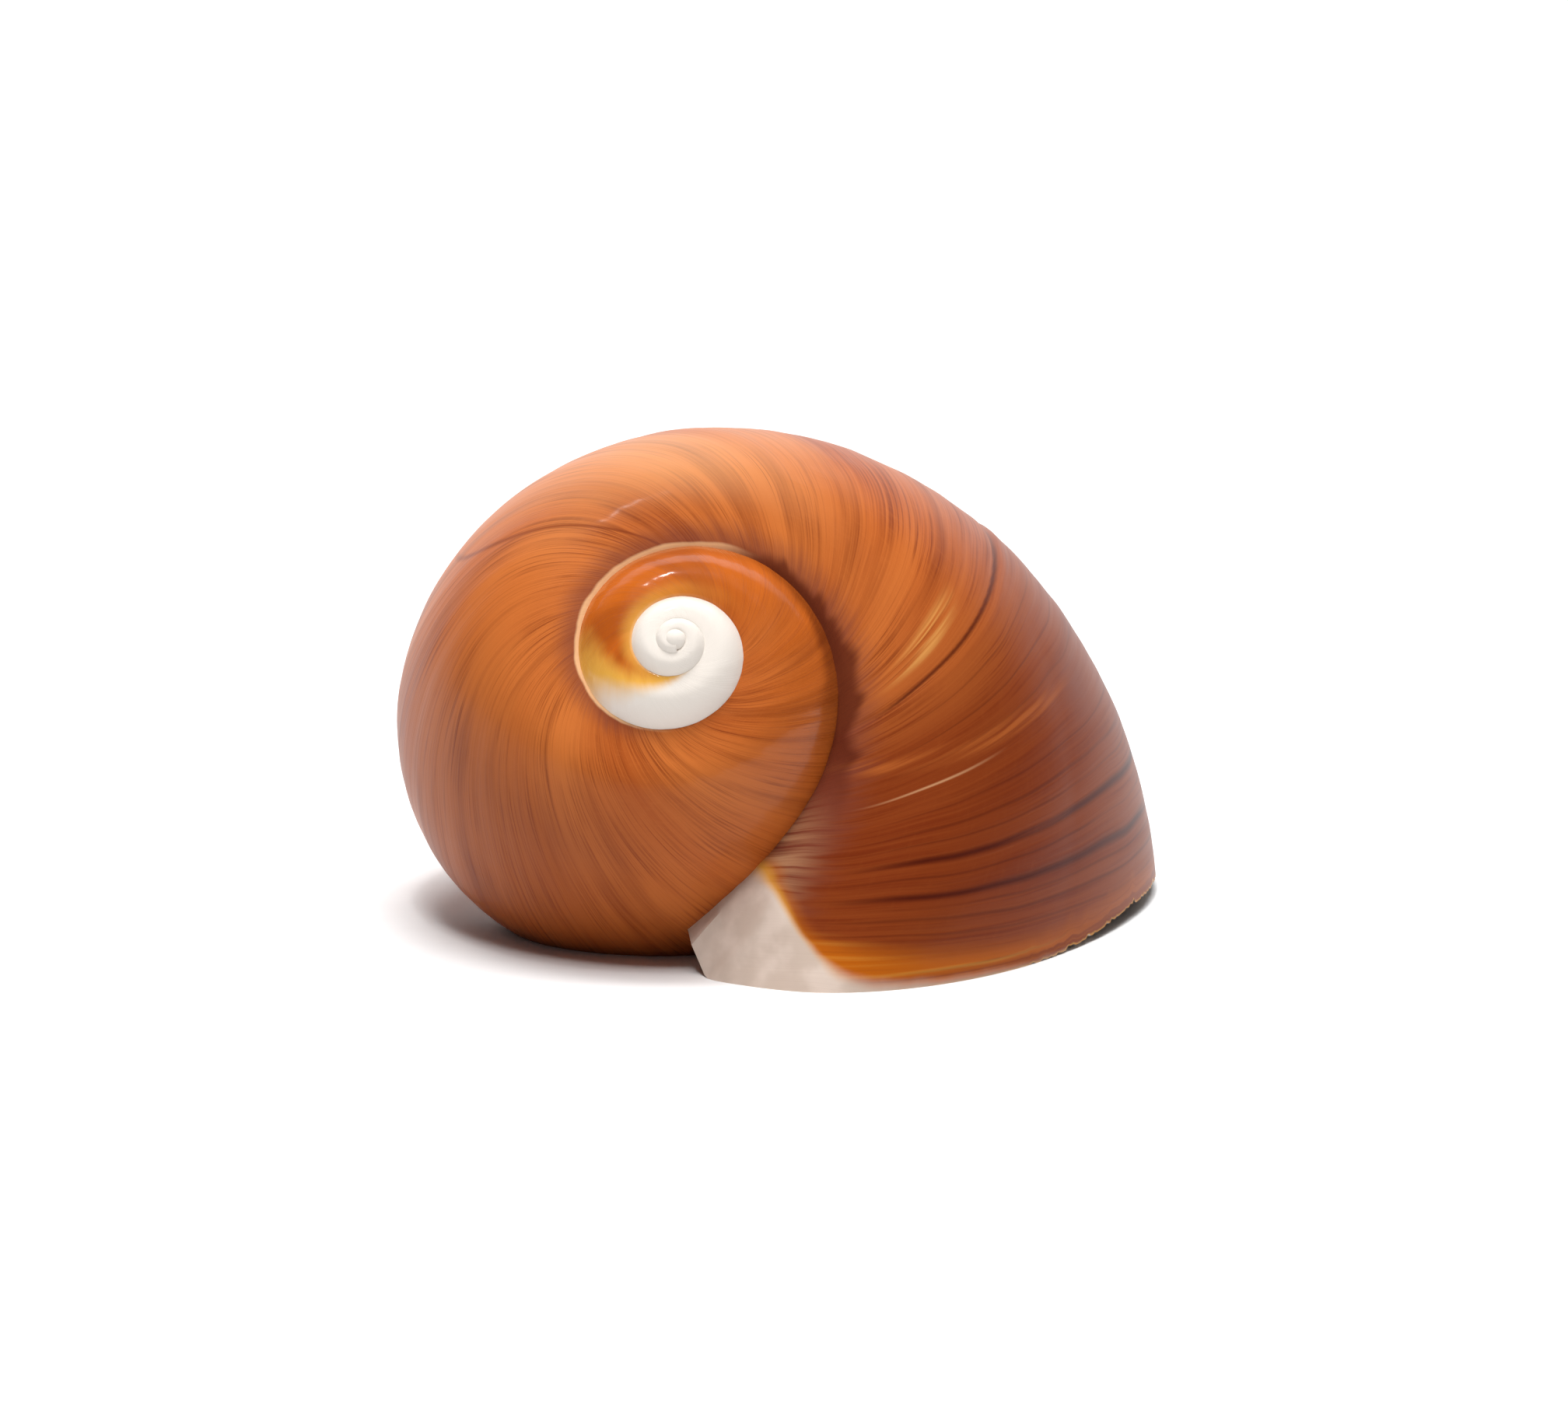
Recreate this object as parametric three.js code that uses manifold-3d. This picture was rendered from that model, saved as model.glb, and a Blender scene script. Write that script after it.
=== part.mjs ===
// Moon snail shell, resting on its aperture. Millimetres, +Z up.
// The origin is the bottom centre of the shell's box, on the surface that it rests on.
//
// The shell is a coiled tube. Its section grows by the same factor in every turn, so every whorl
// is a smaller copy of the next one. A place along the coil is given in turns: 0 is near the
// aperture and negative turns lead back to the apex. The coil runs clockwise seen from the apex.
import * as THREE from 'three';
import { mergeVertices } from 'three/addons/utils/BufferGeometryUtils.js';
import Module from 'manifold-3d';

// Driving dimensions.
const WHORL_RADIUS = 29; // reach of the last whorl from the coiling axis, before it flares
const EXPANSION = 2.3; // growth in one turn
const FLARE = 0.47; // natural log of the extra growth at turn 0
const FLARE_TURNS = 0.115; // turns over which the flare fades
const APEX_TURN = -4;
const APERTURE_TURN = 0.06; // the tube runs on past the surface that trims its lip
const LIP_TURN = -0.4; // the stretch from here on carries the outer lip
const CAVITY_END_TURN = -1.25; // the hollow is modelled back to here

// The whorl's section is a leaning egg, in units of the whorl's reach.
const SECTION_RADIUS = 0.573; // from the axis to the section's centre
const SECTION_DEPTH = 0.819; // from the apex's level down to the section's centre
const SECTION_HALF_WIDTH = 0.372;
const SECTION_HALF_HEIGHT = 0.676;
const SECTION_LEAN = THREE.MathUtils.degToRad(21.5);
const SECTION_FULLNESS = 0.0375; // flattens the sides of the egg

// The wall, thin at the lip and thicker inside.
const LIP_WALL = 0.7;
const BODY_WALL = 1.3;
const WALL_TURNS = 0.45; // turns over which the wall thickens
const INNER_GLAZE = 0.3; // laid over the whorl before, where it forms the inner wall

// How the shell lies: the coiling axis leans toward the front, -Y.
const AXIS_LEAN = THREE.MathUtils.degToRad(56.7);
const AXIS_HEADING = THREE.MathUtils.degToRad(-2.8);
const COIL_START = THREE.MathUtils.degToRad(-84.7);
const APEX_HEIGHT = 18.4;

// Solid core of the coil: it closes the narrow hole along the axis and ends in a rounded plug,
// which leaves the umbilicus as a crescent groove. Each point is [radius, depth below the apex].
const CORE_OUTLINE = [[4.6, 25.5], [6.2, 23.5], [6.6, 21.5], [0.07, 0.2]];

// The callus pad in the top corner of the aperture, centred from the point below the apex.
const CALLUS_CENTRE = new THREE.Vector3(6, 4, 0);
const CALLUS_SIZE = new THREE.Vector3(5.2, 6.4, 5.8);

// The lip's top corner lifts off the surface: its edge, seen from the front, as [x, z].
const CORNER_EDGE = [[-4, 4.4], [5, 4.2], [6.2, 3], [7.4, 1.5], [9.4, 0.7], [12.2, 0.3], [15.6, 0]];
const CORNER_DEPTH = 12; // the corner is trimmed this far back from the front
const WORK_SPAN = 200; // larger than anything here
const WELD_GAP = 0.002;

const SECTION_POINTS = 28;
const CAVITY_POINTS = 20;
const STEPS_PER_TURN = 36;
const SEAM_TURNS = 0.012; // pieces of the tube overlap by this much on each side
const SEAM_INSET = 0.002; // and draw in by this much of the whorl's reach

const wasm = await Module();
wasm.setup();

function growth(turn) {
  const flare = FLARE * Math.exp(turn / FLARE_TURNS);
  return WHORL_RADIUS * Math.exp(Math.log(EXPANSION) * turn + flare);
}

// One point of the section in the plane through the axis: x away from the axis, y up it.
function sectionPoint(angle, scale) {
  const across = SECTION_HALF_WIDTH * (Math.sin(angle) + SECTION_FULLNESS * Math.sin(3 * angle));
  const along = SECTION_HALF_HEIGHT * Math.cos(angle);
  const point = new THREE.Vector2(across, along).rotateAround(new THREE.Vector2(), SECTION_LEAN);
  return point.add(new THREE.Vector2(SECTION_RADIUS, -SECTION_DEPTH)).multiplyScalar(scale);
}

function sectionRing(turn, count, wall) {
  const scale = growth(turn);
  const ring = [];
  for (let i = 0; i < count; i += 1) {
    const angle = (2 * Math.PI * i) / count;
    const tangent = sectionPoint(angle + 0.01, scale).sub(sectionPoint(angle - 0.01, scale)).normalize();
    const inward = new THREE.Vector2(tangent.y, -tangent.x);
    const point = sectionPoint(angle, scale).addScaledVector(inward, wall);
    const bearing = -2 * Math.PI * turn;
    ring.push(new THREE.Vector3(point.x * Math.cos(bearing), point.x * Math.sin(bearing), point.y));
  }
  return ring;
}

function wallAt(turn) {
  const depth = THREE.MathUtils.clamp(-turn / WALL_TURNS, 0, 1);
  return THREE.MathUtils.lerp(LIP_WALL, BODY_WALL, depth);
}

// A closed piece of the tube between two places along the coil. Its ends run on past both places
// and draw in by a hair, so that it crosses the pieces before and after it cleanly.
function tube(startTurn, endTurn, count, wall) {
  const steps = Math.max(3, Math.round((endTurn - startTurn) * STEPS_PER_TURN));
  const turns = [startTurn - SEAM_TURNS];
  for (let s = 0; s <= steps; s += 1) {
    turns.push(THREE.MathUtils.lerp(startTurn + SEAM_TURNS, endTurn - SEAM_TURNS, s / steps));
  }
  turns.push(endTurn + SEAM_TURNS);
  const positions = [];
  turns.forEach((turn, s) => {
    const isEnd = s === 0 || s === turns.length - 1;
    const inset = isEnd ? SEAM_INSET * growth(turn) : 0;
    sectionRing(turn, count, inset + wall(turn)).forEach((v) => positions.push(v.x, v.y, v.z));
  });
  const faces = [];
  const last = (turns.length - 1) * count;
  for (let ring = 0; ring < last; ring += count) {
    for (let i = 0; i < count; i += 1) {
      const a = ring + i;
      const b = ring + ((i + 1) % count);
      faces.push(a, b + count, b, a, a + count, b + count);
    }
  }
  for (let i = 1; i < count - 1; i += 1) {
    faces.push(0, i, i + 1, last, last + i + 1, last + i);
  }
  const geometry = new THREE.BufferGeometry();
  geometry.setAttribute('position', new THREE.Float32BufferAttribute(positions, 3));
  geometry.setIndex(faces);
  return geometry;
}

// Turns a geometry from the coil's frame, apex at the origin and axis along Z, to how it lies.
function lie(geometry) {
  const turnAll = new THREE.Matrix4().makeRotationZ(AXIS_HEADING);
  turnAll.multiply(new THREE.Matrix4().makeRotationX(AXIS_LEAN));
  turnAll.multiply(new THREE.Matrix4().makeRotationZ(COIL_START));
  geometry.applyMatrix4(turnAll);
  geometry.translate(0, 0, APEX_HEIGHT);
  return geometry;
}

function toSolid(geometry) {
  const bare = geometry.clone();
  bare.deleteAttribute('normal');
  bare.deleteAttribute('uv');
  const merged = mergeVertices(bare, 1e-5);
  const vertProperties = new Float32Array(merged.attributes.position.array);
  const triVerts = new Uint32Array(merged.index.array);
  const mesh = new wasm.Mesh({ numProp: 3, vertProperties, triVerts });
  mesh.merge();
  return new wasm.Manifold(mesh);
}

function toGeometry(solid) {
  const mesh = solid.getMesh();
  const geometry = new THREE.BufferGeometry();
  geometry.setAttribute('position', new THREE.Float32BufferAttribute(Array.from(mesh.vertProperties), 3));
  geometry.setIndex(Array.from(mesh.triVerts));
  return weld(geometry);
}

// Joins corners closer than WELD_GAP, and drops the faces that this leaves with no width, alone
// or as two faces back to back.
function weld(geometry) {
  const welded = mergeVertices(geometry, WELD_GAP);
  const corners = Array.from(welded.index.array);
  const kept = new Map();
  for (let i = 0; i < corners.length; i += 3) {
    const face = corners.slice(i, i + 3);
    if (new Set(face).size === 3) {
      const key = [...face].sort((p, q) => p - q).join();
      if (kept.has(key)) kept.delete(key);
      else kept.set(key, face);
    }
  }
  welded.setIndex([...kept.values()].flat());
  return welded;
}

function whorl(startTurn, endTurn, count = SECTION_POINTS, outset = 0) {
  return toSolid(lie(tube(startTurn, endTurn, count, () => -outset)));
}

function cavity(startTurn, endTurn, extraWall) {
  return toSolid(lie(tube(startTurn, endTurn, CAVITY_POINTS, (turn) => wallAt(turn) + extraWall)));
}

function axisCore() {
  const outline = [new THREE.Vector2(0, -CORE_OUTLINE[0][1])];
  CORE_OUTLINE.forEach(([radius, depth]) => outline.push(new THREE.Vector2(radius, -depth)));
  outline.push(new THREE.Vector2(0, -CORE_OUTLINE.at(-1)[1]));
  const core = new THREE.LatheGeometry(outline, 24);
  core.rotateX(Math.PI / 2);
  return toSolid(lie(core));
}

function callusPad() {
  const pad = new THREE.SphereGeometry(1, 28, 18);
  pad.scale(CALLUS_SIZE.x, CALLUS_SIZE.y, CALLUS_SIZE.z);
  pad.translate(CALLUS_CENTRE.x, CALLUS_CENTRE.y, CALLUS_CENTRE.z);
  return toSolid(pad);
}

// Everything lower than a height above the surface that the shell rests on.
function allBelow(height) {
  const block = new THREE.BoxGeometry(WORK_SPAN, WORK_SPAN, WORK_SPAN);
  block.translate(0, 0, height - WORK_SPAN / 2);
  return toSolid(block);
}

function cornerTrim() {
  const outline = new THREE.Shape();
  outline.moveTo(CORNER_EDGE[0][0], -1);
  CORNER_EDGE.forEach(([x, z]) => outline.lineTo(x, z));
  outline.lineTo(CORNER_EDGE.at(-1)[0], -1);
  const prism = new THREE.ExtrudeGeometry(outline, { depth: CORNER_DEPTH * 2, bevelEnabled: false });
  prism.rotateX(Math.PI / 2);
  prism.translate(0, CORNER_DEPTH / 2, 0);
  return toSolid(prism);
}

function shellGeometry() {
  const lipWhorl = whorl(LIP_TURN, APERTURE_TURN).subtract(cornerTrim());
  let solid = lipWhorl.add(whorl(-1.3, LIP_TURN)).add(whorl(-2.2, -1.3, 22));
  solid = solid.add(whorl(-3.1, -2.2, 16)).add(whorl(APEX_TURN, -3.1, 12)).add(axisCore());
  // The hollow of each stretch stops at the whorl before it, which is its inner wall.
  const lipHollow = cavity(LIP_TURN, APERTURE_TURN, 0);
  const bodyHollow = cavity(CAVITY_END_TURN, LIP_TURN + 0.03, 0.05).subtract(allBelow(BODY_WALL));
  solid = solid.subtract(lipHollow.subtract(whorl(-1.5, -0.9, SECTION_POINTS, INNER_GLAZE)));
  solid = solid.subtract(bodyHollow.subtract(whorl(-2.35, -1.33, 22, INNER_GLAZE)));
  return toGeometry(solid.add(callusPad()).subtract(allBelow(0)));
}

const geometry = shellGeometry();
geometry.computeBoundingBox();
const middle = geometry.boundingBox.getCenter(new THREE.Vector3());
geometry.translate(-middle.x, -middle.y, -geometry.boundingBox.min.z);
geometry.computeVertexNormals();

const glossyBrown = new THREE.MeshStandardMaterial({ color: 0xb4683a, roughness: 0.25, metalness: 0 });
const shell = new THREE.Mesh(geometry, glossyBrown);
shell.name = 'shell';

const part = new THREE.Group();
part.add(shell);
export default part;
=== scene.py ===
import math

import bmesh
import bpy
import numpy as np
from mathutils import Matrix, Vector


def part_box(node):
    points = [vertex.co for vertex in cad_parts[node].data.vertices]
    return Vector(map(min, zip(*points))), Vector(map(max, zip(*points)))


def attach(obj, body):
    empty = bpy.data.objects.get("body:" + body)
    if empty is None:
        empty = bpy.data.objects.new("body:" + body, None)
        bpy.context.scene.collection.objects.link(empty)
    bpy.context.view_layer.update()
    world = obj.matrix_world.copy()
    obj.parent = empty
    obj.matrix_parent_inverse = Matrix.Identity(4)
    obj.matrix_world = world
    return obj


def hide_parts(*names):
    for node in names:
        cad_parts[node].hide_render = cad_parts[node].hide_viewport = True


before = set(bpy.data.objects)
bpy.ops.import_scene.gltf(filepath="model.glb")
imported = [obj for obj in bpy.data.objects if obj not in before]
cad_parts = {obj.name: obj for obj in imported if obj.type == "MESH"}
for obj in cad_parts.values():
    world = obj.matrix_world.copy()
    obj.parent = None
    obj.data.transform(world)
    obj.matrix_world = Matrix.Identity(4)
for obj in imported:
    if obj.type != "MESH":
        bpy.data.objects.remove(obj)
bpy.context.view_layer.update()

MM = 0.001
shell_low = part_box("shell")[0]

# ---- Camera ----
# A long lens a little above the table. It faces the spire, and the lip lies to the right.
CAMERA_DISTANCE = 406 * MM
CAMERA_LENS = 177.7
CAMERA_SENSOR = 36
CAMERA_RISE = math.radians(11.64)
camera_aim = Vector((-0.15 * MM, shell_low.y + 2.9 * MM, 14.55 * MM))
toward_camera = Vector((0, -math.cos(CAMERA_RISE), math.sin(CAMERA_RISE)))

camera = bpy.data.objects.new("camera", bpy.data.cameras.new("camera"))
camera.data.lens = CAMERA_LENS
camera.data.sensor_width = CAMERA_SENSOR
camera.data.clip_start = 10 * MM
camera.location = camera_aim + toward_camera * CAMERA_DISTANCE
camera.rotation_euler = toward_camera.to_track_quat("Z", "Y").to_euler()
bpy.context.scene.collection.objects.link(camera)
bpy.context.scene.camera = camera


# ---- Table, backdrop and lamps ----
# A seamless sheet of white paper lies under the shell and curves up into a wall behind it. Soft
# panels light it from overhead and toward the wall, a small lamp at the front left models the
# form, and a tiny one beside it is the only lamp that the shell mirrors.
PAPER_HALF_WIDTH = 1.0
PAPER_FRONT = -1.5
PAPER_BEND_START = 0.5
PAPER_BEND_RADIUS = 0.3
PAPER_BEND_STEPS = 16
PAPER_TOP = 1.6
PAPER_SHADE = (0.86, 0.86, 0.86, 1)
PAPER_WHITE = (0.9, 0.9, 0.9, 1)
PAPER_FIBRES = 900.0  # in a metre

LAMP_AIM = Vector((0, 0, 12 * MM))
WALL_LAMP_TILT = math.radians(50)


def linked(name, mesh):
    """A new object in the scene, holding a mesh."""
    made = bpy.data.objects.new(name, mesh)
    bpy.context.scene.collection.objects.link(made)
    return made


def paper_sheet():
    profile = [(PAPER_FRONT, 0.0)]
    for step in range(PAPER_BEND_STEPS + 1):
        angle = math.pi / 2 * step / PAPER_BEND_STEPS
        away = PAPER_BEND_START + PAPER_BEND_RADIUS * math.sin(angle)
        profile.append((away, PAPER_BEND_RADIUS * (1 - math.cos(angle))))
    profile.append((PAPER_BEND_START + PAPER_BEND_RADIUS, PAPER_TOP))
    points = [(side * PAPER_HALF_WIDTH, y, z) for y, z in profile for side in (-1, 1)]
    faces = [(2 * i, 2 * i + 1, 2 * i + 3, 2 * i + 2) for i in range(len(profile) - 1)]
    mesh = bpy.data.meshes.new("paper")
    mesh.from_pydata(points, [], faces)
    mesh.shade_smooth()
    return linked("paper", mesh)


class Wire:
    """A shader socket that can stand in a sum; each operator adds one Math node after it."""

    def __init__(self, finish, socket):
        self.finish = finish
        self.socket = socket

    def maths(self, operation, first, second):
        return self.finish.node("ShaderNodeMath", {"operation": operation}, {0: first, 1: second})

    def __add__(self, other):
        return self.maths("ADD", self, other)

    def __radd__(self, other):
        return self.maths("ADD", other, self)

    def __sub__(self, other):
        return self.maths("SUBTRACT", self, other)

    def __rsub__(self, other):
        return self.maths("SUBTRACT", other, self)

    def __mul__(self, other):
        return self.maths("MULTIPLY", self, other)

    def __rmul__(self, other):
        return self.maths("MULTIPLY", other, self)

    def __truediv__(self, other):
        return self.maths("DIVIDE", self, other)

    def __rpow__(self, other):
        return self.maths("POWER", other, self)

    def __abs__(self):
        return self.maths("ABSOLUTE", self, 0.0)


class Finish:
    """A material in the making."""

    def __init__(self, name):
        self.material = bpy.data.materials.new(name)
        self.material.use_nodes = True
        self.tree = self.material.node_tree
        self.shader = self.tree.nodes["Principled BSDF"]

    def node(self, kind, settings, sockets, output=0):
        made = self.tree.nodes.new(kind)
        for name, value in settings.items():
            setattr(made, name, value)
        for name, value in sockets.items():
            self.join(value, made.inputs[name])
        return Wire(self, made.outputs[output])

    def join(self, value, socket):
        if isinstance(value, Wire):
            self.tree.links.new(value.socket, socket)
        else:
            socket.default_value = value

    def coat(self, name, value):
        """Links or sets one of the surface's own sockets."""
        self.join(value, self.shader.inputs[name])

    def field(self, name):
        return self.node("ShaderNodeAttribute", {"attribute_name": name}, {}, "Fac")

    def ease(self, value, low, high):
        """0 below low, 1 above high, and a smooth rise between them."""
        sockets = {"Value": value, "From Min": low, "From Max": high}
        return self.node("ShaderNodeMapRange", {"interpolation_type": "SMOOTHSTEP"}, sockets)

    def stripe(self, value, middle, half_width):
        """1 at the middle, fading to 0 at half_width on each side."""
        return 1 - self.ease(abs(value - middle), 0.0, half_width)

    def noise(self, along, across, seed, detail=2.0):
        spot = self.node("ShaderNodeCombineXYZ", {}, {0: along, 1: across, 2: seed})
        return self.node("ShaderNodeTexNoise", {}, {"Vector": spot, "Scale": 1.0, "Detail": detail})

    def mix(self, amount, first, second):
        return self.node("ShaderNodeMix", {"data_type": "RGBA"}, {0: amount, 6: first, 7: second}, 2)


def paper_finish():
    paint = Finish("white paper")
    fibres = paint.node("ShaderNodeTexNoise", {}, {"Scale": PAPER_FIBRES})
    paint.coat("Base Color", paint.mix(fibres, PAPER_SHADE, PAPER_WHITE))
    paint.coat("Roughness", 0.9)
    paint.coat("Specular IOR Level", 0.2)
    return paint.material


paper = paper_sheet()
paper.data.materials.append(paper_finish())


def softbox(name, place, size, power, mirrored=False):
    """A cloth panel that faces the shell, which reflects it only if it is mirrored."""
    lamp = bpy.data.lights.new(name, "AREA")
    lamp.shape = "RECTANGLE"
    lamp.size, lamp.size_y = size
    lamp.energy = power
    made = bpy.data.objects.new(name, lamp)
    made.location = place
    made.rotation_euler = (LAMP_AIM - Vector(place)).to_track_quat("-Z", "Y").to_euler()
    made.visible_glossy = mirrored
    bpy.context.scene.collection.objects.link(made)
    return made


softbox("overhead panel", (0.02, -0.1, 0.8), (0.5, 0.5), 5.2)
wall_lamp = softbox("wall lamp", (0.0, 0.1, 1.3), (0.9, 0.5), 12)
wall_lamp.rotation_euler = (WALL_LAMP_TILT, 0, 0)
softbox("key lamp", (-0.08, -0.3, 0.75), (0.1, 0.1), 1.1)
softbox("spark lamp", (-0.07, -0.2, 0.8), (0.03, 0.03), 0.5, mirrored=True)

world = bpy.data.worlds.new("studio")
world.use_nodes = True
room_light = world.node_tree.nodes["Background"]
room_light.inputs["Color"].default_value = (0.5, 0.5, 0.52, 1)
room_light.inputs["Strength"].default_value = 0.13
bpy.context.scene.world = world
bpy.context.scene.view_settings.view_transform = "Standard"


# ---- Shell: the coil ----
# A snail's shell is one piece of hard lime. The animal adds to it at the lip while it grows, so it
# is a tube wound round an axis, and each turn is a larger copy of the one before. A place on it is
# given in turns along the coil, back from the lip, and how far round the tube, from 0 at the top.
EXPANSION = 2.3  # growth in one turn
REACH = 29 * MM  # from the axis to the last turn's outside, before it flares
FLARE = 0.47  # natural log of the extra growth at turn 0
FLARE_TURNS = 0.115
EGG_RADIUS = 0.573  # the tube's section is a leaning egg; its sizes are parts of the reach
EGG_DEPTH = 0.819
EGG_HALF_WIDTH = 0.372
EGG_HALF_HEIGHT = 0.676
EGG_FULLNESS = 0.0375
EGG_LEAN = math.radians(21.5)
EGG_STEP = 0.001  # how far round the tube its slope is measured
AXIS_LEAN = math.radians(56.7)
AXIS_HEADING = math.radians(-2.8)
COIL_START = math.radians(-84.7)
APEX = Vector((-5.9 * MM, shell_low.y + 3.68 * MM, 18.4 * MM))
APEX_TURN = -4.0
LIP_START = 0.01  # where the lip meets the table, at the top of the tube
LIP_SWEEP = 0.263  # how far it falls back toward the outside of the tube
LIP_ROUND = 0.55
SEAM = 0.012  # stretches of the tube overlap by this many turns on each side
SEAM_HAIR = 1e-4  # and draw in by this part of the reach, so that they cross cleanly

SKIN, LINING, GLAZE, AXIS, CALLUS, CUT = range(6)  # the layer that a face belongs to
SOLID_ROUND = 0.1  # how far round the tube the faces of a plain solid are said to lie

coil_place = (
    Matrix.Translation(APEX)
    @ Matrix.Rotation(AXIS_HEADING, 4, "Z")
    @ Matrix.Rotation(AXIS_LEAN, 4, "X")
    @ Matrix.Rotation(COIL_START, 4, "Z")
)


def reach(turn):
    return REACH * np.exp(math.log(EXPANSION) * turn + FLARE * np.exp(turn / FLARE_TURNS))


def egg(round_tube):
    """The section as parts of the reach: away from the axis, and up it."""
    angle = 2 * math.pi * round_tube
    wide = EGG_HALF_WIDTH * (np.sin(angle) + EGG_FULLNESS * np.sin(3 * angle))
    tall = EGG_HALF_HEIGHT * np.cos(angle)
    away = EGG_RADIUS + wide * math.cos(EGG_LEAN) - tall * math.sin(EGG_LEAN)
    return away, -EGG_DEPTH + wide * math.sin(EGG_LEAN) + tall * math.cos(EGG_LEAN)


def skin(turn, round_tube, outset):
    """Points of the tube's skin, raised by outset, as rows of x, y, z where the shell lies."""
    scale = reach(turn)
    away, up = egg(round_tube)
    ahead_away, ahead_up = egg(round_tube + EGG_STEP)
    slope_away, slope_up = ahead_away - away, ahead_up - up
    length = np.hypot(slope_away, slope_up)
    away = away * scale - outset * slope_up / length
    up = up * scale + outset * slope_away / length
    bearing = -2 * math.pi * turn
    points = np.stack([away * np.cos(bearing), away * np.sin(bearing), up], axis=-1)
    return points.reshape(-1, 3) @ np.array(coil_place.to_3x3()).T + np.array(coil_place.translation)


def lip_turn(round_tube):
    """Where the lip lies along the coil. Growth lines are earlier lips, so they run parallel to it."""
    return LIP_START - LIP_SWEEP * (1 - (1 - round_tube / LIP_ROUND) ** 2)


def spread(*stretches):
    """Places in stretches of (start, end, count), each one evenly spaced, ending before its end."""
    return np.concatenate([np.linspace(a, b, n, endpoint=False) for a, b, n in stretches])


def tube(start, end, steps, around, outset, layer):
    """A closed stretch of the coil. Its map holds the turn, and how far round plus 2 for each layer."""
    turns = np.concatenate([[start - SEAM], np.linspace(start + SEAM, end - SEAM, steps + 1), [end + SEAM]])
    count = len(around)
    turn_grid, around_grid = np.meshgrid(turns, around, indexing="ij")
    raised = outset(turn_grid, around_grid)
    raised[[0, -1]] -= SEAM_HAIR * reach(turn_grid[[0, -1]])
    points = skin(turn_grid, around_grid, raised)
    ring, column = np.meshgrid(np.arange(len(turns) - 1), np.arange(count), indexing="ij")
    following = (column + 1) % count
    corners = np.stack([ring * count + column, ring * count + following,
                        (ring + 1) * count + following, (ring + 1) * count + column], axis=-1)
    wrapped = np.append(around, 1.0)
    along = np.stack([turns[ring], turns[ring], turns[ring + 1], turns[ring + 1]], axis=-1)
    across = np.stack([wrapped[column], wrapped[column + 1], wrapped[column + 1], wrapped[column]], axis=-1)
    faces = corners[..., ::-1].reshape(-1, 4).tolist()
    first, last = list(range(count)), list(range(len(points) - count, len(points)))
    mesh = bpy.data.meshes.new("tube")
    mesh.from_pydata(points.tolist(), [], faces + [first, last[::-1]])
    sides = np.stack([along, across + 2 * layer], axis=-1)[..., ::-1, :].reshape(-1, 2)
    ends = np.concatenate([np.stack([np.full(count, turns[0]), around + 2 * layer], axis=-1),
                           np.stack([np.full(count, turns[-1]), around + 2 * layer], axis=-1)[::-1]])
    coil_map = mesh.uv_layers.new(name="coil")
    coil_map.uv.foreach_set("vector", np.concatenate([sides, ends]).astype(np.float32).ravel())
    return linked("tube", mesh)


def map_layer(mesh, layer, turn=0.0):
    """Marks every face of a plain solid as belonging to a layer."""
    coil_map = mesh.uv_layers.new(name="coil")
    flat = np.tile(np.array([turn, SOLID_ROUND + 2 * layer], np.float32), len(mesh.loops))
    coil_map.uv.foreach_set("vector", flat)


def combine(piece, operation, other):
    """Adds another solid to the piece or cuts it away, and returns the piece."""
    change = piece.modifiers.new("change", "BOOLEAN")
    change.operation = operation
    change.solver = "MANIFOLD"
    change.object = other
    evaluated = piece.evaluated_get(bpy.context.evaluated_depsgraph_get())
    mesh = bpy.data.meshes.new_from_object(evaluated)
    piece.modifiers.clear()
    piece.data = mesh
    bpy.data.objects.remove(other)
    return piece


# Relief that growth leaves on the outside: broad and narrow waves, a healed break and the welt
# along the seam between turns.
WAVES = (  # how many in one turn, their height and their phase
    (11, 0.035 * MM, 0.3),
    (23, 0.022 * MM, 1.9),
    (41, 0.015 * MM, 4.0),
    (67, 0.009 * MM, 0.8),
    (97, 0.006 * MM, 2.6),
)
WAVE_SWAY = 0.6
SWAYS_ROUND = 9
STRONG_WAVES = 2.6  # times in a turn that the waves grow strong and weak again
LINE_SLANT = 0.07  # growth lines fall back a little more than the lip does
BREAK_LINE = -0.182
BREAK_WIDTH = 0.0022
BREAK_DEPTH = 0.16 * MM
BREAK_STEP = 0.06 * MM  # the new shell starts this much higher
BREAK_STEP_RISE = 0.003
BREAK_STEP_FADE = 0.03
WELT = 0.06 * MM
WELT_ROUND = 0.009
WELT_WIDTH = 0.005
SWELL = 0.3 * MM  # the tube stands a little fuller here
SWELL_TURN = -0.66
SWELL_TURNS = 0.14
NARROW = 0.5 * MM  # and a little leaner behind the lip
NARROW_TURN = -0.2
NARROW_TURNS = 0.09
SHOULDER_PARE = 0.016  # part of the reach by which the shoulder is pared, to join the last turn
SHOULDER_ROUND = 0.045
SHOULDER_WIDTH = 0.035
CORNER_PARE = 1.4 * MM  # and pared further where the callus covers the lip's top corner


def hump(value, middle, width):
    """1 at the middle, falling away smoothly on each side."""
    return np.exp(-((value - middle) / width) ** 2)


def ramp(value, start, end):
    """0 before the start, 1 beyond the end and straight between them, up or down."""
    return np.clip((value - start) / (end - start), 0, 1)


def growth_place(turn, round_tube):
    """Turns before the lip: the same all along one growth line."""
    return turn - lip_turn(round_tube) - LINE_SLANT * round_tube


def pared(turn, round_tube):
    """How far the shoulder is pared down, so that it joins the turn before and the callus."""
    shoulder = SHOULDER_PARE * reach(turn) * hump(round_tube, SHOULDER_ROUND, SHOULDER_WIDTH)
    return shoulder + CORNER_PARE * ramp(turn, -0.05, 0.01) * ramp(round_tube, 0.098, 0.028)


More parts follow.
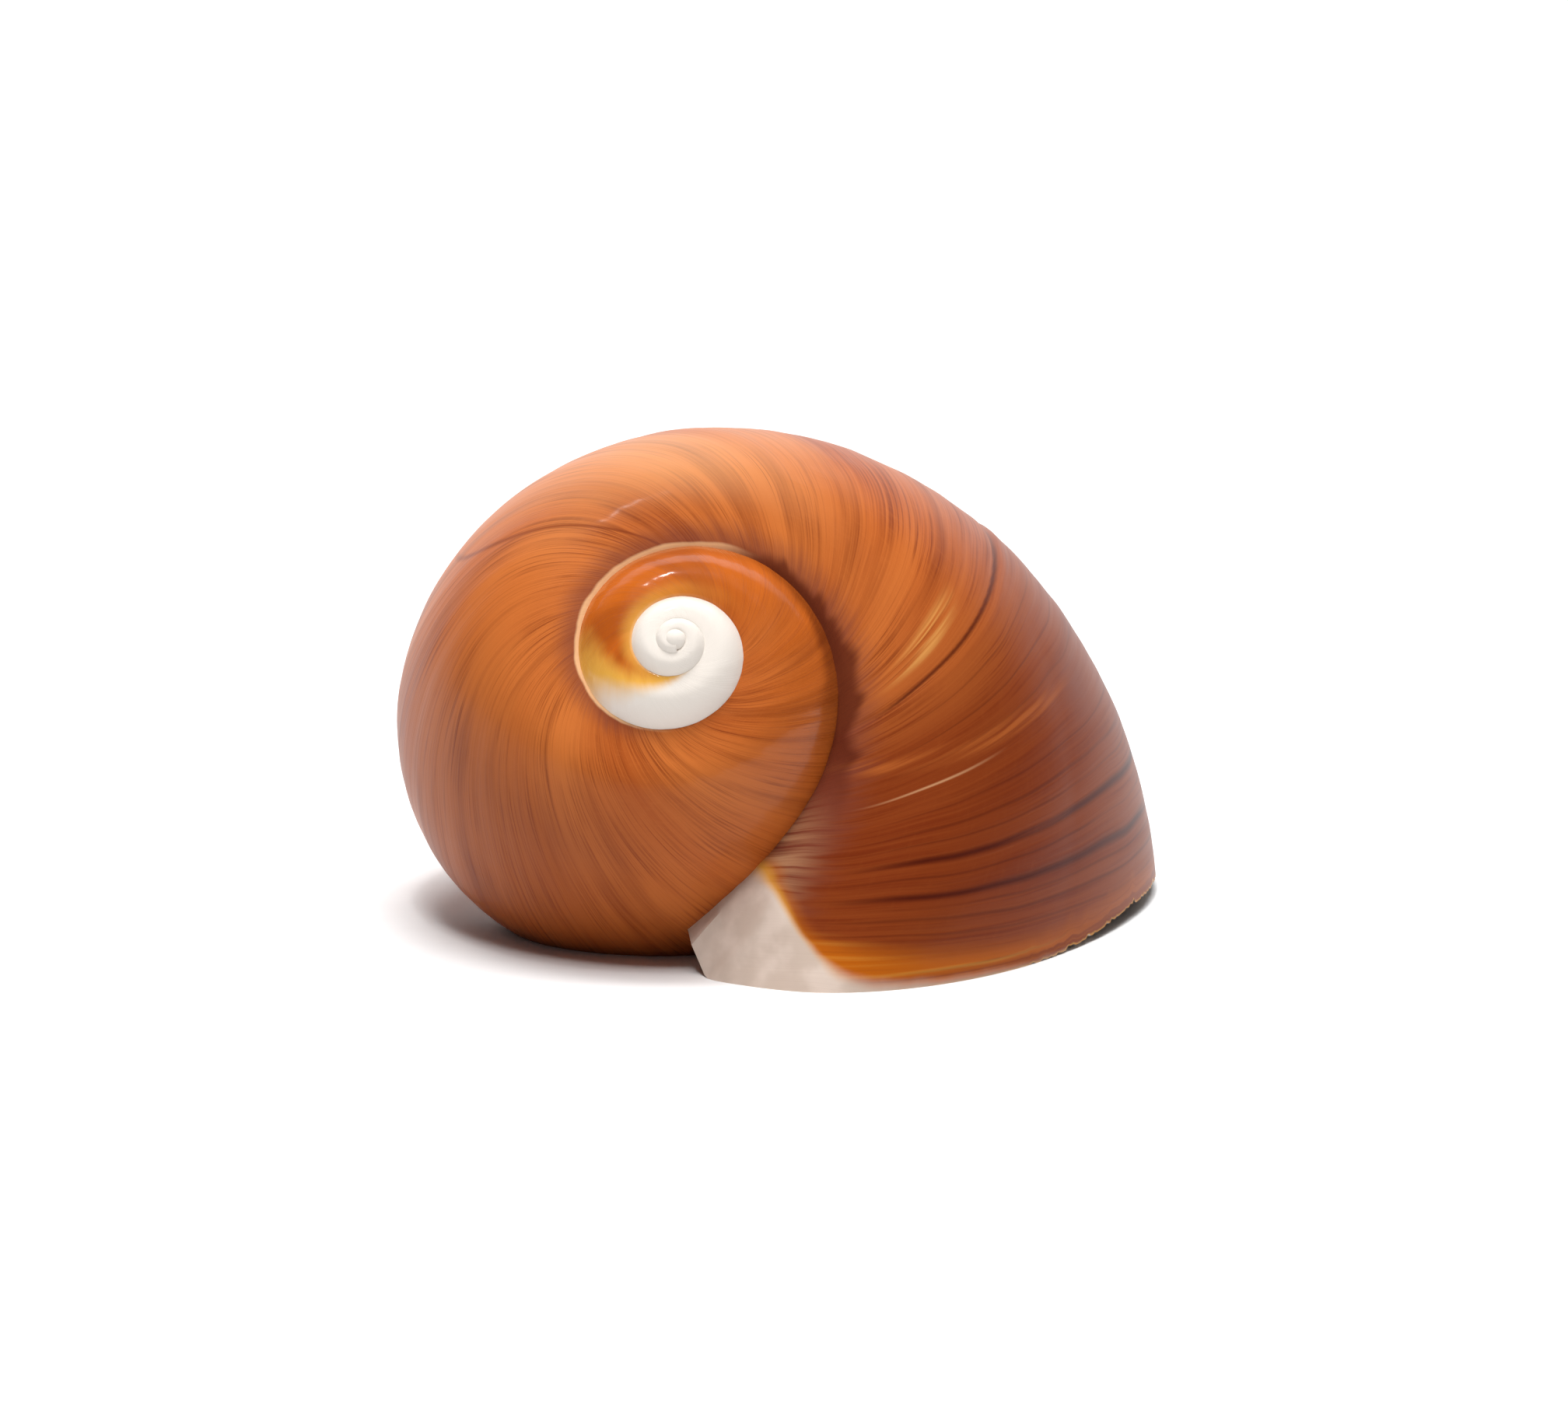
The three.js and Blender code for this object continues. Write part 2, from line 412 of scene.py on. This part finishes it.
def relief(turn, round_tube):
    line = growth_place(turn, round_tube)
    size = np.minimum(reach(turn) / REACH, 1.0)
    waves = 0
    for count, depth, phase in WAVES:
        sway = WAVE_SWAY * np.sin(SWAYS_ROUND * round_tube + phase)
        waves = waves + depth * np.sin(2 * math.pi * count * line + phase + sway)
    strength = 0.45 + 0.55 * np.sin(2 * math.pi * STRONG_WAVES * line + 1) ** 2
    waves = waves * size * strength * ramp(round_tube, 0.012, 0.132)
    after = line - BREAK_LINE
    step = BREAK_STEP / (1 + np.exp(-after / BREAK_STEP_RISE)) * np.exp(-np.maximum(after, 0) / BREAK_STEP_FADE)
    healed = step - BREAK_DEPTH * hump(after, 0, BREAK_WIDTH)
    healed = healed * ramp(round_tube, 0, 0.05) * ramp(round_tube, 0.45, 0.3)
    welt = WELT * hump(round_tube, WELT_ROUND, WELT_WIDTH) * size
    swell = SWELL * hump(turn, SWELL_TURN, SWELL_TURNS)
    narrow = NARROW * hump(turn, NARROW_TURN, NARROW_TURNS) * ramp(round_tube, 0.1, 0.2)
    return waves + healed + welt + swell - narrow - pared(turn, round_tube)


# The wall is thin at the lip and thicker inside, and an inner glaze covers the turn before.
LIP_WALL = 0.55 * MM
WALL_GAIN = 0.75 * MM
WALL_TURNS = 0.45
DEEPER_WALL = 0.05 * MM  # the deeper hollow keeps clear of the first one's wall
GLAZE_WALL = 0.3 * MM
FLOOR = 1.3 * MM


def lining(turn, round_tube):
    """The inner face of the wall."""
    return -(LIP_WALL + WALL_GAIN * ramp(turn, 0, -WALL_TURNS)) - pared(turn, round_tube)


def deeper_lining(turn, round_tube):
    return lining(turn, round_tube) - DEEPER_WALL


def glaze(turn, round_tube):
    """Shell laid over the turn before, where it is the inner wall of the next."""
    return GLAZE_WALL + 0 * turn


LEAST_STEPS = 8
quality = 1.0


def fine(count):
    return max(LEAST_STEPS, int(count * quality))


all_round = spread((0, 0.03, fine(12)), (0.03, 0.6, fine(104)), (0.6, 1.0, 24))
upper_side = spread((0, 0.03, fine(10)), (0.03, 0.22, fine(48)), (0.22, 1.0, 32))
plain_round = spread((0, 1.0, 72))

LIP_STRETCH = (-0.4, 0.06)  # it runs on past the table, which trims the lip's edge
STRETCHES = (  # the rest of the coil, back to the apex, with the steps along each
    (-1.3, -0.4, 300, all_round),
    (-2.2, -1.3, 170, upper_side),
    (-3.1, -2.2, 90, upper_side),
    (APEX_TURN, -3.1, 60, plain_round),
)
shell = tube(*LIP_STRETCH, fine(190), all_round, relief, SKIN)

# The lip's edge is chipped on its far side, where it also stands a little off the table.
LIP_LIFT = 0.8 * MM
LIP_LIFT_FROM = 13.5 * MM
LIP_LIFT_TO = 18.5 * MM
CHIP_DEPTH = 0.09 * MM
CHIPS_FROM = 12 * MM
CHIPS_TO = 14 * MM
TOE_HEIGHT = 5 * MM  # the edge rises at its left end, where the callus ends beside the turn before
TOE_LEFT = -4.3 * MM
TOE_WIDTH = 2.5 * MM
TOE_BACK = -6.0 * MM
EDGE_SPAN = 24 * MM
CUT_SPAN = 150 * MM
CUT_DEPTH = 200 * MM


def edge_height(x, y):
    """How far the lip's edge stands above the table."""
    across, back = x / MM, y / MM
    chips = np.sin(5.1 * across) + np.sin(8.7 * across + 1) + np.sin(4.1 * back) + np.sin(9.3 * back)
    chips = CHIP_DEPTH * np.maximum(chips, 0) * ramp(x, CHIPS_FROM, CHIPS_TO)
    lift = LIP_LIFT * ramp(x, LIP_LIFT_FROM, LIP_LIFT_TO) ** 1.5
    toe = TOE_HEIGHT * ramp(x, TOE_LEFT, TOE_LEFT - TOE_WIDTH) * ramp(y, TOE_BACK, TOE_BACK - MM)
    return lift + chips + toe


def cutting_block(height, spots):
    """A block below a surface: height gives the surface at x, y, and spots are the places it is read."""
    x, y = np.meshgrid(spots, spots, indexing="ij")
    top = np.stack([x, y, height(x, y)], axis=-1).reshape(-1, 3)
    foot = np.stack([x, y, 0 * x - CUT_DEPTH], axis=-1).reshape(-1, 3)
    side = len(spots)
    row, column = np.meshgrid(np.arange(side - 1), np.arange(side - 1), indexing="ij")
    lowest = row * side + column
    square = np.stack([lowest, lowest + side, lowest + side + 1, lowest + 1], axis=-1).reshape(-1, 4)
    faces = square.tolist() + (square[:, ::-1] + side * side).tolist()
    rim = list(range(0, side)) + list(range(2 * side - 1, side * side, side))
    rim += list(range(side * side - 2, side * (side - 1) - 1, -1)) + list(range(side * (side - 2), 0, -side))
    for a, b in zip(rim, rim[1:] + rim[:1]):
        faces.append((a, b, b + side * side, a + side * side))
    mesh = bpy.data.meshes.new("block")
    mesh.from_pydata(np.concatenate([top, foot]).tolist(), [], faces)
    map_layer(mesh, CUT)
    return linked("block", mesh)


def block_below(level):
    """Everything below a level."""
    return cutting_block(lambda x, y: level + 0 * x, np.array([-CUT_SPAN, CUT_SPAN]))


near_lip = spread((-EDGE_SPAN, EDGE_SPAN, fine(320)))
edge_spots = np.concatenate([[-CUT_SPAN], near_lip, [EDGE_SPAN, CUT_SPAN]])
shell = combine(shell, "DIFFERENCE", cutting_block(edge_height, edge_spots))
for start, end, steps, around in STRETCHES:
    shell = combine(shell, "UNION", tube(start, end, fine(steps), around, relief, SKIN))

# The shell that the animal hatched in, a smooth bead at the very top.
BEAD_RADIUS = 0.62 * MM
BEAD_DEPTH = 0.66 * MM
BEAD_ASIDE = 0.05 * MM


def bead():
    form = bmesh.new()
    bmesh.ops.create_uvsphere(form, u_segments=32, v_segments=20, radius=BEAD_RADIUS)
    mesh = bpy.data.meshes.new("bead")
    form.to_mesh(mesh)
    form.free()
    mesh.transform(coil_place @ Matrix.Translation((BEAD_ASIDE, 0, -BEAD_DEPTH)))
    map_layer(mesh, SKIN, APEX_TURN)
    return linked("bead", mesh)


shell = combine(shell, "UNION", bead())

# The axis: the inner walls of all the turns fuse into a solid pillar, which ends at the base in a
# rounded plug beside the open navel.
PLUG_RADIUS = 6.6 * MM
PLUG_TOP = 21.5 * MM
PLUG_HEIGHT = 4.0 * MM
PLUG_FULLNESS = 0.75
PLUG_STEPS = 24
PILLAR_END = (0.07 * MM, 0.2 * MM)  # its radius and depth just below the apex
FOOT_POINT = 0.1 * MM
END_POINT = 0.02 * MM


def pillar_profile():
    """Radius and depth below the apex, from the plug's rounded foot up."""
    profile = []
    for i in range(1, PLUG_STEPS + 1):
        angle = math.pi / 2 * i / PLUG_STEPS
        foot = max(math.cos(angle), 0) ** PLUG_FULLNESS
        profile.append((PLUG_RADIUS * math.sin(angle), PLUG_TOP + PLUG_HEIGHT * foot))
    return profile + [PILLAR_END]


def pillar(profile, sides):
    """A solid turned about the coil's axis."""
    points = [(0, 0, -profile[0][1] - FOOT_POINT)]
    for radius, depth in profile:
        for i in range(sides):
            angle = 2 * math.pi * i / sides
            points.append((radius * math.cos(angle), radius * math.sin(angle), -depth))
    points.append((0, 0, -profile[-1][1] + END_POINT))
    faces = []
    for i in range(sides):
        j = (i + 1) % sides
        faces.append((0, 1 + j, 1 + i))
        for level in range(len(profile) - 1):
            a = 1 + level * sides
            faces.append((a + i, a + j, a + sides + j, a + sides + i))
        top = 1 + (len(profile) - 1) * sides
        faces.append((top + i, top + j, len(points) - 1))
    mesh = bpy.data.meshes.new("pillar")
    mesh.from_pydata(points, [], faces)
    mesh.transform(coil_place)
    map_layer(mesh, AXIS)
    return linked("pillar", mesh)


shell = combine(shell, "UNION", pillar(pillar_profile(), fine(128)))

# The hollow that the animal lived in, in two stretches. Each stops at the glaze on the turn before.
hollow = tube(*LIP_STRETCH, 60, plain_round, lining, LINING)
hollow = combine(hollow, "DIFFERENCE", tube(-1.5, -0.9, 90, plain_round, glaze, GLAZE))
shell = combine(shell, "DIFFERENCE", hollow)
hollow = tube(-1.25, -0.37, 110, plain_round, deeper_lining, LINING)
hollow = combine(hollow, "DIFFERENCE", block_below(FLOOR))
hollow = combine(hollow, "DIFFERENCE", tube(-2.35, -1.33, 110, plain_round, glaze, GLAZE))
shell = combine(shell, "DIFFERENCE", hollow)

# The callus: white enamel laid over the wall in the top corner of the aperture.
CALLUS_CENTRE = np.array([0.1 * MM, shell_low.y + 8.0 * MM, 0])
CALLUS_SIZE = np.array([4.8 * MM, 5.5 * MM, 5.3 * MM])


def callus_pad():
    rows, sides = fine(64), fine(128)
    tilt = np.linspace(-math.pi / 2, math.pi / 2, rows + 1)[1:-1, None]
    heading = np.linspace(0, 2 * math.pi, sides, endpoint=False)[None, :]
    swell = 1 + 0.012 * np.sin(5 * heading + 1) * np.cos(3 * tilt) + 0.008 * np.sin(11 * heading + 4 * tilt)
    unit = np.stack([np.cos(tilt) * np.cos(heading), np.cos(tilt) * np.sin(heading),
                     np.sin(tilt) + 0 * heading], axis=-1) * swell[..., None]
    points = (unit * CALLUS_SIZE + CALLUS_CENTRE).reshape(-1, 3).tolist()
    foot, top = len(points), len(points) + 1
    half_height = CALLUS_SIZE * (0, 0, 1)
    points += [(CALLUS_CENTRE - half_height).tolist(), (CALLUS_CENTRE + half_height).tolist()]
    faces = []
    for i in range(sides):
        j = (i + 1) % sides
        faces.append((foot, j, i))
        for row in range(rows - 2):
            a = row * sides
            faces.append((a + i, a + j, a + sides + j, a + sides + i))
        last = (rows - 2) * sides
        faces.append((last + i, last + j, top))
    mesh = bpy.data.meshes.new("callus")
    mesh.from_pydata(points, [], faces)
    map_layer(mesh, CALLUS)
    return linked("callus", mesh)


# Its enamel also spreads over the lip's top corner, as a triangle that falls away to the right.
CORNER_RISE = 5.4 * MM
CORNER_FROM = -2.0 * MM
CORNER_REACH = 2.7 * MM
CORNER_FALL = 3.0
CORNER_THIN = 3 * MM
CORNER_END = 8 * MM
CORNER_BACK = -9.5 * MM
CORNER_SUNK = 0.3 * MM


def corner_height(x, y):
    """How far up the lip the callus reaches."""
    beyond = np.maximum(x - CORNER_FROM, 0) / CORNER_REACH
    height = CORNER_RISE / (1 + beyond ** CORNER_FALL)
    shows = ramp(y, CORNER_BACK, CORNER_BACK - MM) * ramp(x, CORNER_END, CORNER_THIN)
    return height * shows - CORNER_SUNK


shell = combine(shell, "UNION", callus_pad())
shell = combine(shell, "DIFFERENCE", block_below(0))
shell.name = "moon_snail_shell"


def drop_crumbs(mesh):
    """Deletes the slivers that the cuts left loose: all but the largest connected body."""
    form = bmesh.new()
    form.from_mesh(mesh)
    waiting = set(form.verts)
    bodies = []
    while waiting:
        body = [waiting.pop()]
        for vertex in body:
            beside = {edge.other_vert(vertex) for edge in vertex.link_edges} & waiting
            waiting -= beside
            body.extend(beside)
        bodies.append(body)
    largest = max(bodies, key=len)
    for body in bodies:
        if body is not largest:
            bmesh.ops.delete(form, geom=body, context="VERTS")
    form.to_mesh(mesh)
    form.free()


drop_crumbs(shell.data)


# What the finish needs to know at each corner of each face, read back from the map.
FAR_SIDE = 0.93  # beyond this the tube's far side counts on from below 0
LIP_FROM = -0.42  # only this last part of the coil carries the lip
NO_LIP = 1.0
SHARP_EDGE = math.radians(32)


def lay_fields(mesh):
    flat = np.empty(2 * len(mesh.loops), np.float32)
    mesh.uv_layers["coil"].uv.foreach_get("vector", flat)
    turn, packed = flat.reshape(-1, 2).astype(float).T
    layer = np.floor(packed / 2 + 1e-4)
    round_tube = packed - 2 * layer
    round_tube = np.where(round_tube > FAR_SIDE, round_tube - 1, round_tube)
    spots = np.empty(3 * len(mesh.vertices), np.float32)
    mesh.vertices.foreach_get("co", spots)
    corner_vertex = np.empty(len(mesh.loops), np.int32)
    mesh.loops.foreach_get("vertex_index", corner_vertex)
    place = spots.reshape(-1, 3)[corner_vertex].astype(float)
    x, y, z = place.T
    on_lip = (layer == SKIN) & (turn > LIP_FROM)
    from_pad = np.linalg.norm((place - CALLUS_CENTRE) / CALLUS_SIZE, axis=1)
    fields = {
        "turn": turn,
        "round_tube": round_tube,
        "growth_line": growth_place(turn, round_tube),
        "lip_gap": np.where(on_lip, z - edge_height(x, y), NO_LIP) / MM,
        "corner_gap": np.where(on_lip, z - corner_height(x, y), NO_LIP) / MM,
        "pad_gap": (from_pad - 1) * CALLUS_SIZE[1] / MM,
        "enamel": np.isin(layer, (CALLUS, GLAZE, CUT)).astype(float),
        "inside": (layer == LINING).astype(float),
        "pillar": (layer == AXIS).astype(float),
    }
    for name, values in fields.items():
        mesh.attributes.new(name, "FLOAT", "CORNER").data.foreach_set("value", values.astype(np.float32))
    mesh.uv_layers.remove(mesh.uv_layers["coil"])


lay_fields(shell.data)
shell.data.shade_smooth()
shell.data.set_sharp_from_angle(angle=SHARP_EDGE)


# ---- Shell: the finish ----
# The lime is stained brown by the edge of the animal's mantle as it is laid down, so its colours
# follow the growth lines. Painted shade and a painted sheen lie over the last turn and along the seam
# between turns. The callus and the inside are bare white and tan enamel.
def tone(red, green, blue):
    """A colour given as on a paint card, 0 to 255, for the shader."""
    def linear(part):
        part = part / 255
        return part / 12.92 if part <= 0.04045 else ((part + 0.055) / 1.055) ** 2.4
    return (linear(red), linear(green), linear(blue), 1)


TAN = tone(202, 112, 52)
BROWN = tone(174, 86, 36)
RED_BROWN = tone(110, 39, 14)
# DARK_LINE and PLUM also serve as painted shade and shadow along the seam between turns.
DARK_LINE = tone(80, 26, 12)
PLUM = tone(118, 62, 50)
# Painted shade for the lower left of the last turn.
PAINTED_SHADE_BROWN = tone(116, 52, 24)
CREAM = tone(240, 190, 140)
FLAME = tone(250, 200, 110)
WHITE = tone(240, 231, 221)
YELLOW = tone(236, 176, 76)
ORANGE = tone(196, 98, 26)
AMBER = tone(190, 98, 18)
ENAMEL = tone(220, 201, 187)
ENAMEL_SHADE = tone(204, 184, 169)
LINING_BROWN = tone(176, 120, 92)

# Growth lines where the animal rested: where each lies, its half width and how strong it is.
DARK_LINES = (
    (-0.0705, 0.003, 1.0), (-0.0515, 0.0032, 1.0), (-0.0395, 0.0014, 0.5), (-0.087, 0.0014, 0.45),
    (-0.0615, 0.001, 0.5), (-0.0455, 0.001, 0.4), (-0.0795, 0.0009, 0.4), (-0.0325, 0.001, 0.35),
    (-0.098, 0.0009, 0.35), (-0.128, 0.001, 0.3), (-0.143, 0.0009, 0.35), (-0.16, 0.001, 0.3),
)
FLAME_LINE = -0.2035
MEND_LINE = BREAK_LINE + 0.0005
THREAD_LINE = -0.114
BRUISE_LINE = -0.112
MOTTLE_SCALE = 420.0
GRAIN_HEIGHT = 0.06 * MM


def shell_finish():
    paint = Finish("shell enamel")
    turn, round_tube = paint.field("turn"), paint.field("round_tube")
    line, lip_gap, pad_gap = paint.field("growth_line"), paint.field("lip_gap"), paint.field("pad_gap")
    corner_gap, on_enamel = paint.field("corner_gap"), paint.field("enamel")
    inside, on_pillar = paint.field("inside"), paint.field("pillar")

    # Growth lines run along the old lips, from hair-fine ones to broad bands.
    sway = (paint.noise(line * 14, round_tube * 9, 3.1) - 0.5) * 0.006
    swayed = line + sway
    hair = paint.noise(swayed * 740, round_tube * 9, 1.7, 3.0)
    fine = paint.noise(swayed * 240, round_tube * 7, 5.2, 3.0)
    bands = paint.noise(swayed * 46, round_tube * 4.5, 8.4)
    zones = paint.noise(line * 9, round_tube * 2.5, 2.6)
    patches = paint.noise(line * 22, round_tube * 14, 6.8)
    weave = paint.noise(line * 90, round_tube * 260, 9.9)
    ragged = bands - 0.5
    lines_show = 0.25 + 0.75 * paint.ease(patches, 0.35, 0.65)
    colour = paint.mix(paint.ease(zones, 0.32, 0.68), BROWN, TAN)
    colour = paint.mix(paint.ease(bands, 0.5, 0.78) * 0.5, colour, RED_BROWN)
    colour = paint.mix(paint.ease(bands, 0.5, 0.28) * 0.3, colour, TAN)
    colour = paint.mix(paint.ease(fine, 0.5, 0.72) * 0.5 * lines_show, colour, RED_BROWN)
    colour = paint.mix(paint.ease(hair, 0.5, 0.68) * 0.55 * lines_show, colour, RED_BROWN)
    colour = paint.mix(paint.ease(hair, 0.48, 0.3) * 0.35, colour, TAN)
    colour = paint.mix(paint.ease(weave, 0.5, 0.25) * 0.12, colour, TAN)

    # The left of the last turn is darkened below by painted shade, and has a pale painted sheen on its
    # shoulder.
    painted_shade = paint.stripe(turn, -0.86, 0.22) * paint.ease(round_tube, 0.08, 0.2)
    colour = paint.mix(painted_shade * 0.55, colour, PAINTED_SHADE_BROWN)
    # A pale painted sheen, in patches, on the shoulder of the last turn.
    painted_sheen = paint.stripe(turn, -0.5, 0.17) * (1 - paint.ease(round_tube, 0.14, 0.3))
    painted_sheen = painted_sheen * paint.ease(round_tube, 0.04, 0.1)
    colour = paint.mix(painted_sheen * 0.3 * paint.ease(zones, 0.3, 0.6), colour, CREAM)

    # Toward the lip the brown deepens, and a few growth lines are dark.
    near_lip = paint.ease(line, -0.24, -0.12)
    colour = paint.mix(near_lip * 0.75, colour, RED_BROWN)
    wander = swayed + (paint.noise(line * 30, round_tube * 6, 7.3) - 0.5) * 0.004
    fade = paint.ease(round_tube, 0.03, 0.09) * paint.ease(fine, 0.25, 0.5)
    for middle, half_width, strength in DARK_LINES:
        dark = paint.stripe(wander, middle, half_width) * strength
        colour = paint.mix(dark * fade, colour, DARK_LINE)

    # Before the healed break: a flame of unstained shell. The break itself is a dark line.
    flame = paint.stripe(line + sway * 2, FLAME_LINE, 0.011) * paint.stripe(round_tube, 0.078, 0.055)
    flame = flame * paint.ease(bands * 0.5 + fine * 0.5, 0.42, 0.58)
    colour = paint.mix(flame * 0.9, colour, FLAME)
    mend = paint.stripe(line, MEND_LINE, 0.0026) * paint.ease(round_tube, 0.015, 0.06)
    colour = paint.mix(mend * (1 - paint.ease(round_tube, 0.2, 0.3)) * 0.85, colour, DARK_LINE)

    # After it: a light ray, a pale thread, a plum-coloured bruise, and farther back an old lip.
    ray_line = -0.115 - 0.04 * math.e ** (round_tube / -0.08)
    ray = paint.stripe(line, ray_line, 0.009) * (1 - paint.ease(round_tube, 0.16, 0.26))
    colour = paint.mix(ray * 0.45 * paint.ease(fine, 0.35, 0.6), colour, TAN)
    thread = paint.stripe(line + sway * 0.5, THREAD_LINE, 0.0013) * paint.stripe(round_tube, 0.08, 0.06)
    colour = paint.mix(thread * 0.45, colour, CREAM)
    bruise = paint.stripe(line, BRUISE_LINE, 0.02) * paint.stripe(round_tube, 0.232, 0.04)
    colour = paint.mix(bruise * 0.45, colour, PLUM)
    old_lip = -0.509 - 2.5 * round_tube * (0.2 - round_tube)
    old_line = paint.stripe(line, old_lip, 0.004) * (1 - paint.ease(round_tube, 0.2, 0.3))
    colour = paint.mix(old_line * 0.6, colour, RED_BROWN)

    # The spire: white first whorls, then yellow, then clear orange that browns with age.
    age = turn + 1.77 + 0.27 * math.e ** (round_tube / -0.09)
    orange = 1 - paint.ease(age, 0.3, 0.95)
    spire = paint.mix(paint.ease(fine, 0.45, 0.75) * 0.5, ORANGE, BROWN)
    spire = paint.mix(paint.ease(zones, 0.4, 0.65) * 0.4, spire, RED_BROWN)
    halo = 1 - paint.ease(round_tube + (patches - 0.5) * 0.02, 0.005, 0.06)
    spire = paint.mix(halo * 0.6 * (1 - paint.ease(age, 0.35, 0.7)), spire, YELLOW)
    blush = 1 - paint.ease(round_tube, 0.003, 0.016)
    spire = paint.mix(blush * 0.6 * (1 - paint.ease(age, 0.4, 0.8)), spire, CREAM)
    spire = paint.mix(1 - paint.ease(age + (patches - 0.5) * 0.08, 0.02, 0.16), spire, YELLOW)
    colour = paint.mix(orange, colour, spire)
    colour = paint.mix(1 - paint.ease(age + ragged * 0.03, -0.06, 0.05), colour, WHITE)

    # The seam between turns: a plum-coloured band of painted shade beside it, a cream welt on the left,
    # painted shadow, dark and ragged, in the seam on the right, a line of painted shade on the turn
    # before, and pale wisps near the lip.
    last_turn = paint.ease(turn, -1.0, -0.85)
    # Painted shade in the hollow beside the seam, plum-coloured.
    seam_shade = (1 - paint.ease(round_tube + (fine - 0.5) * 0.04, 0.008, 0.045)) * last_turn
    colour = paint.mix(seam_shade * 0.65, colour, PLUM)
    welt = 1 - paint.ease(round_tube + (patches - 0.5) * 0.006, 0.0075, 0.0115)
    early = welt * last_turn * (1 - paint.ease(turn, -0.46, -0.38))
    colour = paint.mix(early * 0.85, colour, CREAM)
    # Painted shadow in the seam on the right, dark and ragged.
    seam_shadow_right = (1 - paint.ease(round_tube + ragged * 0.03, 0.01, 0.022)) * paint.ease(turn, -0.44, -0.36)
    colour = paint.mix(seam_shadow_right * (1 - paint.ease(turn, -0.17, -0.1)) * 0.75, colour, DARK_LINE)
    # Painted shade: a soft dark line on the turn before, just below the seam.
    beside = paint.ease(round_tube + ragged * 0.02, 0.15, 0.178) * paint.stripe(turn, -1.27, 0.17)
    colour = paint.mix(beside * 0.6, colour, DARK_LINE)
    wisps = (1 - paint.ease(round_tube + (fine - 0.5) * 0.05, 0.0, 0.035)) * paint.ease(turn, -0.13, -0.05)
    colour = paint.mix(wisps * paint.ease(fine, 0.35, 0.6) * 0.45, colour, CREAM)

    # The lip is thin and amber, with one pale line along it and a pale rim.
    corner = (1 - paint.ease(round_tube, 0.03, 0.13)) * 1.2
    amber = 1 - paint.ease(lip_gap + ragged * 1.5 - corner, 0.5, 2.1)
    amber = amber * (1 - 0.5 * paint.ease(round_tube, 0.15, 0.25))
    layers = paint.noise(lip_gap * 2.6, round_tube * 4, 7.7)
    edge_tint = paint.mix(paint.ease(layers, 0.45, 0.62) * 0.7, AMBER, RED_BROWN)
    edge_tint = paint.mix(paint.ease(layers, 0.45, 0.3) * 0.5 * corner, edge_tint, YELLOW)
    colour = paint.mix(amber * 0.85, colour, edge_tint)
    pale = paint.stripe(lip_gap + (patches - 0.5) * 0.4, 0.8, 0.16)
    colour = paint.mix(pale * (1 - paint.ease(round_tube, 0.14, 0.22)) * 0.3, colour, YELLOW)
    colour = paint.mix((1 - paint.ease(lip_gap, 0.02, 0.14)) * 0.5, colour, YELLOW)

    # Enamel laid by the animal: thick and white on the callus, thin where it runs out.
    spot = paint.node("ShaderNodeTexCoord", {}, {}, "Object")
    mottle = paint.node("ShaderNodeTexNoise", {}, {"Vector": spot, "Scale": MOTTLE_SCALE, "Detail": 3.0})
    enamel = paint.mix(paint.ease(mottle, 0.4, 0.65), ENAMEL_SHADE, ENAMEL)
    veil = 1 - paint.ease(pad_gap + (mottle - 0.5), 0.3, 2.6)
    colour = paint.mix(veil * 0.35 * last_turn, colour, PLUM)
    glow = 1 - paint.ease(corner_gap + ragged * 2.4 + round_tube * 14, 0.6, 2.8)
    colour = paint.mix(glow * 0.7, colour, AMBER)
    glow = 1 - paint.ease(corner_gap + ragged * 1.6 + round_tube * 14, 0.3, 1.6)
    colour = paint.mix(glow * 0.75, colour, YELLOW)
    film = 1 - paint.ease(corner_gap + ragged * 0.8 + (mottle - 0.5) * 0.5, -0.1, 0.8)
    colour = paint.mix(film, colour, enamel)
    colour = paint.mix(inside, colour, LINING_BROWN)
    tanned = paint.mix(0.55 + paint.ease(mottle, 0.3, 0.8) * 0.2, LINING_BROWN, enamel)
    colour = paint.mix(on_pillar, colour, tanned)
    colour = paint.mix(on_enamel, colour, enamel)

    # The spire and the enamel have the shine of a glaze, and the last turn is duller.
    glossy = 1 - paint.ease(turn, -1.25, -0.95) * (1 - on_enamel)
    stained = 1 - (on_enamel + inside + on_pillar)
    grain = (hair * 0.5 + fine * 0.5 + bands * 0.6) * stained + mottle * 0.2
    bump = paint.node("ShaderNodeBump", {}, {"Strength": 0.35, "Distance": GRAIN_HEIGHT, "Height": grain})
    paint.coat("Base Color", colour)
    paint.coat("Roughness", 0.36 - glossy * 0.1 + (fine - 0.5) * 0.12)
    paint.coat("Coat Weight", 0.05 + glossy * 0.55)
    paint.coat("Normal", bump)
    paint.coat("Specular IOR Level", 0.1)
    paint.coat("Coat Roughness", 0.12)
    return paint.material


shell.data.materials.clear()
shell.data.materials.append(shell_finish())

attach(shell, "root")
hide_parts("shell")
